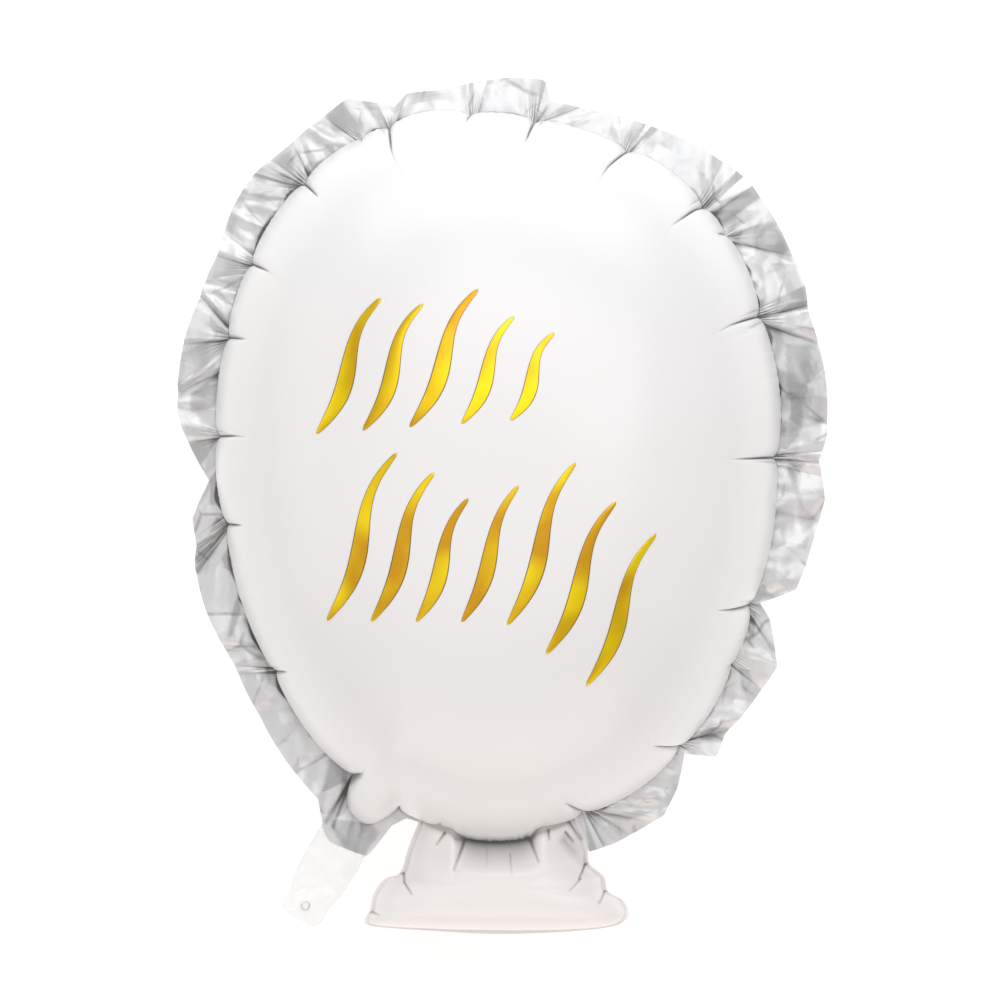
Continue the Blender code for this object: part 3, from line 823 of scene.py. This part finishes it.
def film(name, node, side, height, flat_level, materials):
    """One film of the balloon in place of its CAD node: the body with its skirt, and the foot."""
    columns = Columns()
    rings, marks = body_rows(columns, height, side)
    if flat_level is not None:
        for ring in rings:
            ring[:, 2] = np.maximum(ring[:, 2], -flat_level)
    outer, inner, skirt_marks = skirt_rows(columns, side)
    rows = rings + outer + inner[::-1]
    slots = [0] * (len(rings) - 1) + [1] * (len(rows) - len(rings) + 1)
    add_foil(name, node, rows, materials[:2], slots, marks + skirt_marks)
    rows, marks = foot_rows(side)
    add_foil(name + "_foot", node, rows, materials[2:], [0] * len(rows), marks)


def linked(name, data):
    """A new object of the scene."""
    made = bpy.data.objects.new(name, data)
    bpy.context.scene.collection.objects.link(made)
    return made


def add_foil(name, node, rows, materials, slots, marks):
    """A piece of film from its rings of points, in place of its CAD node."""
    data = closed_mesh(name, rows, materials, slots)
    keep_painted_shade(data, marks)
    face_out(data)
    data.shade_smooth()
    data.set_sharp_from_angle(angle=math.radians(SHARP_DEGREES))
    piece = linked(name, data)
    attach(piece, "root")
    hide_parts(node)


def keep_painted_shade(data, marks):
    """Keeps the painted shade of each point on the mesh, for its first rings of points. The others have
    none.
    """
    given = np.concatenate(marks)
    keep(data, "crease", np.concatenate((given, np.zeros(len(data.vertices) - len(given)))))


def keep(data, name, values):
    """Keeps a number for each point of a mesh, for its material to read."""
    data.attributes.new(name, "FLOAT", "POINT").data.foreach_set("value", values.astype(np.float32))


def face_out(data):
    """Turns the faces of each closed shell of a mesh outwards."""
    mesh = bmesh.new()
    mesh.from_mesh(data)
    bmesh.ops.recalc_face_normals(mesh, faces=mesh.faces)
    mesh.to_mesh(data)
    mesh.free()


# Golden strokes on the front, in millimetres from the body's centre: lower end, upper end, width, and bend.
TOP_ROW = (
    ((-112, 24), (-72, 108), 9, 5),
    ((-83, 26), (-46, 104), 8.5, 5),
    ((-54, 28), (-12, 113), 9, 5),
    ((-22, 30), (10, 96), 8, 4),
    ((8, 32), (35, 86), 7.5, 4),
)
BOTTOM_ROW = (
    ((-106, -92), (-62, 12), 9, 6),
    ((-78, -92), (-39, 0), 9, 5),
    ((-50, -92), (-18, -16), 8.5, 4),
    ((-22, -92), (13, -8), 8.5, 4),
    ((6, -94), (48, 6), 9, 5),
    ((30, -112), (73, -18), 9, 5),
    ((55, -132), (98, -38), 8.5, 5),
)
STROKE_STEPS = 72
STROKE_ACROSS = (-1.0, -0.9, -0.8, 0.0, 0.8, 0.9, 1.0)

# A stroke's height in the middle and at its edge, and how far its sides reach down, in millimetres. Then
# the power that keeps its top flat.
STROKE_RISE = 0.16
STROKE_OVER_FILM = 0.10
STROKE_SINK = 0.5
STROKE_FLATNESS = 6

# A stroke's width along it: half of it at the very tips in millimetres, its share just inside them, the
# power by which it fills out, and the share and place of the one swell. Its bend is this share of the full
# one at the lower end.
STROKE_TIP = 0.15
STROKE_NARROW = 0.10
STROKE_FILL = 0.55
STROKE_SWELL = 0.25
STROKE_SWELL_AT = 0.3
STROKE_FIRST_BEND = 0.6


def front_level(flat):
    """Height in metres of the front film over points in millimetres from the body's centre."""
    angles = np.degrees(np.arctan2(flat[:, 0], flat[:, 1])) % 360.0
    share = np.hypot(*flat.T) / seam_radius(angles)
    return SEAM_Z + FRONT_HEIGHT * crown(share)


def stroke(low, high, width, bend):
    """Points, faces and edge marks of one tapered stroke with a double bend, lying on the front film."""
    low, high = np.array(low), np.array(high)
    t = np.linspace(0.0, 1.0, STROKE_STEPS + 1)
    side = np.array((high[1] - low[1], low[0] - high[0])) / np.hypot(*(high - low))
    bent = bend * np.sin(2 * math.pi * t) * (STROKE_FIRST_BEND + (1.0 - STROKE_FIRST_BEND) * t)
    path = low + (high - low) * t[:, None] + side * bent[:, None]
    tangent = np.gradient(path, axis=0)
    tangent /= np.hypot(*tangent.T)[:, None]
    across = np.column_stack((tangent[:, 1], -tangent[:, 0]))
    full = np.maximum(np.sin(math.pi * t), 0.0) ** STROKE_FILL
    half = width / 2 * (STROKE_NARROW + (1.0 - STROKE_NARROW) * full)
    half *= 1.0 + STROKE_SWELL * np.cos(2 * math.pi * (t - STROKE_SWELL_AT))
    half[0] = half[-1] = STROKE_TIP
    points, marks = [], []
    for place in STROKE_ACROSS:
        flat = path + across * (half * place)[:, None]
        rise = STROKE_OVER_FILM + STROKE_RISE * (1.0 - abs(place) ** STROKE_FLATNESS)
        points.append(np.column_stack((flat * MM + BODY_CENTRE, front_level(flat) + rise * MM)))
        marks.append(np.full(len(t), abs(place)))
    under = [row - np.array((0.0, 0.0, STROKE_SINK * MM)) for row in (points[0], points[-1])]
    points += [under[1], under[0]]
    marks += [marks[0], marks[0]]
    count = len(t)
    rows = len(points)
    faces = []
    for row in range(rows):
        nxt = (row + 1) % rows
        for i in range(count - 1):
            a, b = row * count + i, nxt * count + i
            faces.append((a, a + 1, b + 1, b))
    faces.append([row * count for row in range(rows)])
    faces.append([row * count + count - 1 for row in range(rows)][::-1])
    return np.concatenate(points), faces, np.concatenate(marks)


def stroke_row(name, strokes, material):
    """One row of strokes as one piece."""
    points, faces, marks = [], [], []
    start = 0
    for each in strokes:
        some, some_faces, some_marks = stroke(*each)
        points.append(some)
        marks.append(some_marks)
        faces += [tuple(start + i for i in face) for face in some_faces]
        start += len(some)
    data = bpy.data.meshes.new(name)
    data.from_pydata(np.concatenate(points).tolist(), [], faces)
    keep(data, "rim", np.concatenate(marks))
    data.materials.append(material)
    face_out(data)
    data.shade_smooth()
    piece = linked(name, data)
    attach(piece, "root")


# The clear tail, in millimetres from the body's centre: its middle line, its widths at shares of it, and
# its corners.
TAIL_START = np.array((-93.0, -225.0))
TAIL_END = np.array((-128.5, -286.5))
TAIL_LENGTH = float(np.hypot(*(TAIL_END - TAIL_START)))
TAIL_ALONG = (TAIL_END - TAIL_START) / TAIL_LENGTH
TAIL_WIDTHS = ((0.0, 33.0), (0.35, 35.0), (0.62, 33.0), (0.8, 28.0), (1.0, 28.0))
TAIL_CORNER = 7.0
TAIL_STEPS = 60
TAIL_ACROSS = 24

# The tail's sheet is this thick where its two films are welded, beyond this share of its half width, and
# half as thick between. It crumples freely from this far along, over this many millimetres.
TAIL_THICKNESS = 0.22
TAIL_WELD = 0.9
TAIL_CRUMPLE = 1.1
TAIL_FREE_FROM = 34.0
TAIL_FREE_REACH = 20.0

# The ring near the tail's end, in millimetres.
RING_FROM_END = 10.0
RING_RADIUS = 2.6
RING_THICKNESS = 0.55
RING_RISE = 0.3


def tail_sheet(material):
    """The clear filling tail: two welded films as one thin sheet with welded edges."""
    across = np.array((-TAIL_ALONG[1], TAIL_ALONG[0]))
    t = np.linspace(0.0, 1.0, TAIL_STEPS + 1)
    shares, widths = np.array(TAIL_WIDTHS).T
    from_end = (1.0 - t) * TAIL_LENGTH
    rounded = np.sqrt(np.maximum(0.0, TAIL_CORNER ** 2 - np.maximum(0.0, TAIL_CORNER - from_end) ** 2))
    half = np.interp(t, shares, widths) / 2 - TAIL_CORNER
    half += np.where(from_end < TAIL_CORNER, rounded, TAIL_CORNER)
    w = np.linspace(-1.0, 1.0, TAIL_ACROSS + 1)
    rows = []
    free = clamp((t * TAIL_LENGTH - TAIL_FREE_FROM) / TAIL_FREE_REACH)
    for place in w:
        flat = TAIL_START + TAIL_ALONG * (t * TAIL_LENGTH)[:, None] + across * (half * place)[:, None]
        wave = facets(flat, 52, (9.0, 14.0, 21.0)) * TAIL_CRUMPLE * free
        rows.append(np.column_stack((flat, wave + flap_wave(flat)[0])))
    sheet = np.array(rows)
    thick = np.where(np.abs(w) > TAIL_WELD, TAIL_THICKNESS, TAIL_THICKNESS / 2)[:, None]
    top, bottom = sheet.copy(), sheet.copy()
    top[:, :, 2] += thick / 2
    bottom[:, :, 2] -= thick / 2
    count = TAIL_STEPS + 1
    wide = TAIL_ACROSS + 1
    points = np.concatenate((top.reshape(-1, 3), bottom.reshape(-1, 3))) * MM
    points += SEAM_CENTRE
    faces = []
    low = count * wide
    for j in range(wide - 1):
        for i in range(count - 1):
            a, b = j * count + i, (j + 1) * count + i
            faces.append((a, a + 1, b + 1, b))
            faces.append((low + a, low + b, low + b + 1, low + a + 1))
    border = list(range(count))
    border += [j * count + count - 1 for j in range(1, wide)]
    border += [(wide - 1) * count + i for i in range(count - 2, -1, -1)]
    border += [j * count for j in range(wide - 2, 0, -1)]
    for a, b in zip(border, border[1:] + border[:1]):
        faces.append((a, low + a, low + b, b))
    data = bpy.data.meshes.new("filling_tail")
    data.from_pydata(points.tolist(), [], faces)
    data.materials.append(material)
    face_out(data)
    data.shade_smooth()
    piece = linked("filling_tail", data)
    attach(piece, "root")
    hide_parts("filling_valve")


def tail_ring(material):
    """The ring near the tail's end."""
    middle = BODY_CENTRE + (TAIL_END - TAIL_ALONG * RING_FROM_END) * MM
    bpy.ops.mesh.primitive_torus_add(
        location=(*middle, SEAM_Z + RING_RISE * MM),
        major_radius=RING_RADIUS * MM,
        minor_radius=RING_THICKNESS * MM,
        major_segments=48,
        minor_segments=12,
    )
    ring = bpy.context.object
    ring.name = "filling_tail_ring"
    ring.data.materials.append(material)
    ring.data.shade_smooth()
    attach(ring, "root")


class Shader:
    """A material's node tree, with short ways to add nodes. Scales are features in a metre."""

    def __init__(self, name):
        self.material = bpy.data.materials.new(name)
        self.material.use_nodes = True
        self.tree = self.material.node_tree
        self.principled = self.tree.nodes["Principled BSDF"]
        self.place = self.node("ShaderNodeTexCoord").outputs["Object"]

    def node(self, kind, **values):
        made = self.tree.nodes.new(kind)
        for name, value in values.items():
            if name in made.inputs:
                made.inputs[name].default_value = value
            else:
                setattr(made, name, value)
        return made

    def link(self, out, into):
        self.tree.links.new(out, into)

    def noise(self, scale, detail=3.0, roughness=0.5):
        made = self.node("ShaderNodeTexNoise", Scale=scale, Detail=detail, Roughness=roughness)
        self.link(self.place, made.inputs["Vector"])
        return made.outputs["Fac"]

    def range(self, value, low, high, from_low=0.3, from_high=0.7):
        made = self.node("ShaderNodeMapRange")
        made.inputs["From Min"].default_value = from_low
        made.inputs["From Max"].default_value = from_high
        made.inputs["To Min"].default_value = low
        made.inputs["To Max"].default_value = high
        self.link(value, made.inputs["Value"])
        return made.outputs["Result"]

    def fill(self, socket, value):
        """Gives an input a number, a colour, or another node's output."""
        if isinstance(value, float):
            socket.default_value = value
        elif isinstance(value, tuple):
            socket.default_value = (*value, 1.0)
        else:
            self.link(value, socket)

    def set(self, **values):
        """Fills inputs of the principled shader. Their names have a _ here for each space."""
        for name, value in values.items():
            self.fill(self.principled.inputs[name.replace("_", " ")], value)

    def mix(self, factor, first, second):
        made = self.node("ShaderNodeMix", data_type="RGBA")
        self.link(factor, made.inputs["Factor"])
        self.fill(made.inputs["A"], first)
        self.fill(made.inputs["B"], second)
        return made.outputs["Result"]

    def mark(self, name):
        """A number that is kept for each point of the mesh."""
        return self.node("ShaderNodeAttribute", attribute_name=name).outputs["Fac"]

    def facets(self, scale):
        """Height of a crumpled film with about this many facets in a metre: a roof over each cell."""
        cells = self.node("ShaderNodeTexVoronoi", feature="DISTANCE_TO_EDGE", Scale=scale)
        self.link(self.place, cells.inputs["Vector"])
        return cells.outputs["Distance"]

    def product(self, first, second):
        made = self.node("ShaderNodeMath", operation="MULTIPLY")
        self.link(first, made.inputs[0])
        self.link(second, made.inputs[1])
        return made.outputs["Value"]

    def painted_valley_shade(self, height, wide, dark, scale, rare):
        """How dark the painted shade in the creases between facets is: lines that come and go, fewer if
        rare is high.
        """
        line = self.range(height, dark, 0.0, 0.0, wide)
        return self.product(line, self.range(self.noise(scale, 2.0), 0.0, 1.0, rare, rare + 0.12))

    def bumps(self, *layers):
        """Bump layers, each of (height, strength, distance in metres), one over the other."""
        normal = None
        for height, strength, distance in layers:
            made = self.node("ShaderNodeBump", Strength=strength, Distance=distance)
            self.link(height, made.inputs["Height"])
            if normal:
                self.link(normal, made.inputs["Normal"])
            normal = made.outputs["Normal"]
        self.link(normal, self.principled.inputs["Normal"])


# The two tones of each material, and the colour of its painted shade, or of the gold's printed rim.
SATIN_WHITE = ((0.80, 0.795, 0.80), (0.825, 0.82, 0.825))
# The foot's copy of the satin film: its rosy tones are painted rose light on the same white film.
SATIN_PAINTED_ROSE_LIGHT = ((0.86, 0.83, 0.825), (0.885, 0.855, 0.85))
SATIN_PAINTED_SHADE = (0.09, 0.09, 0.092)
SILVER = ((0.66, 0.665, 0.675), (0.75, 0.75, 0.76))
SILVER_PAINTED_SHADE = (0.06, 0.06, 0.062)
GOLD = ((0.98, 0.72, 0.004), (0.66, 0.33, 0.006))
GOLD_RIM = (0.16, 0.085, 0.02)
PAPER = ((0.955, 0.955, 0.955), (0.97, 0.97, 0.97))


def satin_white_film(name, tones):
    shader = Shader(name)
    white = shader.mix(shader.range(shader.noise(3.0, 2.0), 0.0, 1.0), *tones)
    # The crease attribute mixes in painted shade: creases, folds, and the body's shade on the foot.
    colour = shader.mix(shader.range(shader.mark("crease"), 0.0, 0.85, 0.05, 0.9), white, SATIN_PAINTED_SHADE)
    rough = shader.range(shader.noise(40.0, 4.0), 0.25, 0.45, 0.0, 1.0)
    shader.set(Base_Color=colour, Roughness=rough, Coat_Weight=0.3, Coat_Roughness=0.22)
    shader.bumps((shader.noise(22.0, 2.0), 0.25, 0.0008), (shader.noise(900.0, 3.0), 0.05, 0.0002))
    return shader.material


def silvery_film():
    shader = Shader("silvery_film")
    silver = shader.mix(shader.range(shader.noise(22.0, 3.0), 0.0, 1.0), *SILVER)
    large, small = shader.facets(30.0), shader.facets(90.0)
    # Painted shade in the valleys between the facets.
    silver = shader.mix(shader.painted_valley_shade(large, 0.045, 0.42, 40.0, 0.50), silver, SILVER_PAINTED_SHADE)
    silver = shader.mix(shader.painted_valley_shade(small, 0.08, 0.3, 70.0, 0.60), silver, SILVER_PAINTED_SHADE)
    # The crease attribute mixes in painted shade: fold lines, pockets, leaning planes and the body's
    # contact.
    colour = shader.mix(shader.range(shader.mark("crease"), 0.0, 0.9, 0.05, 0.9), silver, SILVER_PAINTED_SHADE)
    rough = shader.range(shader.noise(60.0, 4.0), 0.38, 0.58, 0.0, 1.0)
    shader.set(Base_Color=colour, Roughness=rough, Metallic=0.6)
    shader.bumps((large, 1.0, 0.0022), (small, 1.0, 0.0005))
    return shader.material


def gold_foil():
    shader = Shader("gold_foil")
    gold = shader.mix(shader.range(shader.noise(26.0, 1.0), 0.0, 1.0, 0.38, 0.62), *GOLD)
    colour = shader.mix(shader.range(shader.mark("rim"), 0.0, 1.0, 0.86, 0.93), gold, GOLD_RIM)
    shader.set(Base_Color=colour, Roughness=0.3, Metallic=0.55)
    return shader.material


def clear_film(name, colour, alpha):
    shader = Shader(name)
    shader.set(Base_Color=colour, Roughness=0.12, Alpha=alpha, IOR=1.5)
    shader.bumps((shader.facets(60.0), 1.0, 0.004), (shader.noise(160.0, 3.0), 0.5, 0.0006))
    return shader.material


def floor_paper():
    shader = Shader("floor_paper")
    colour = shader.mix(shader.range(shader.noise(2.0, 2.0), 0.0, 1.0), *PAPER)
    shader.set(Base_Color=colour, Roughness=0.9, Specular_IOR_Level=0.1)
    shader.set(Emission_Color=(1.0, 1.0, 1.0), Emission_Strength=0.25)
    return shader.material


# The camera looks straight down. The picture is this wide at the seam's level.
PICTURE_WIDTH = 0.643
PICTURE_CENTRE = (-0.001, 0.0016)
CAMERA_HEIGHT = 2.6
SENSOR = 36.0


def add_camera():
    data = bpy.data.cameras.new("camera")
    data.sensor_width = SENSOR
    data.lens = SENSOR * CAMERA_HEIGHT / PICTURE_WIDTH
    data.clip_end = 30.0
    camera = linked("camera", data)
    camera.location = (*PICTURE_CENTRE, SEAM_Z + CAMERA_HEIGHT)
    bpy.context.scene.camera = camera


FLOOR_HALF = 6.0
SKY = 0.28
LIGHTS_AIM = (0.0, 0.0, 0.1)
WHITE = (1.0, 1.0, 1.0)
ROSE = (1.0, 0.87, 0.81)
IVORY = (1.0, 1.0, 0.94)

# The lights: place and size in metres, how bright they are where 1 is a white floor in full light, and
# colour.
LIGHTS = (
    ("overhead", (-0.9, -0.7, 3.6), (3.0, 3.0), 0.57, WHITE),
    ("top_high", (0.6, 1.05, 3.0), (2.8, 1.7), 2.2, WHITE),
    ("top_side", (0.1, 2.6, 1.4), (4.0, 1.8), 2.1, WHITE),
    ("foot_side", (0.0, -2.6, 1.5), (4.0, 1.9), 1.65, ROSE),
    ("left_side", (-2.6, 0.1, 1.5), (3.0, 1.8), 0.8, IVORY),
    ("right_side", (2.6, 0.1, 1.5), (3.0, 1.8), 0.4, IVORY),
)


def add_light(name, place, size, radiance, colour):
    """A soft panel that is aimed at the balloon."""
    data = bpy.data.lights.new(name, "AREA")
    data.shape = "RECTANGLE"
    data.size, data.size_y = size
    data.energy = radiance * math.pi * size[0] * size[1]
    data.color = colour
    light = linked(name, data)
    light.location = place
    light.rotation_mode = "QUATERNION"
    light.rotation_quaternion = (Vector(LIGHTS_AIM) - Vector(place)).to_track_quat("-Z", "Y")


def add_studio():
    world = bpy.data.worlds.new("studio")
    world.use_nodes = True
    background = world.node_tree.nodes["Background"]
    background.inputs["Color"].default_value = (1.0, 1.0, 1.0, 1.0)
    background.inputs["Strength"].default_value = SKY
    bpy.context.scene.world = world
    for light in LIGHTS:
        add_light(*light)
    bpy.context.scene.view_settings.view_transform = "Standard"


def add_floor():
    data = bpy.data.meshes.new("floor")
    corners = [(x * FLOOR_HALF, y * FLOOR_HALF, 0.0) for x, y in ((-1, -1), (1, -1), (1, 1), (-1, 1))]
    data.from_pydata(corners, [], [(0, 1, 2, 3)])
    data.materials.append(floor_paper())
    floor = linked("floor", data)


def main():
    films = (
        satin_white_film("satin_white_film", SATIN_WHITE),
        silvery_film(),
        # The foot's copy of the satin film, tinted with painted rose light.
        satin_white_film("satin_film_painted_rose_light", SATIN_PAINTED_ROSE_LIGHT),
    )
    film("front_foil", "front_film", 1, FRONT_HEIGHT, None, films)
    film("back_foil", "back_film", -1, BACK_HEIGHT, FLAT_LEVEL, films)
    gold = gold_foil()
    stroke_row("golden_strokes_top", TOP_ROW, gold)
    stroke_row("golden_strokes_bottom", BOTTOM_ROW, gold)
    tail_sheet(clear_film("clear_film", (0.90, 0.905, 0.91), 0.34))
    tail_ring(clear_film("ring_film", (0.7, 0.7, 0.72), 0.6))
    add_floor()
    add_camera()
    add_studio()


main()
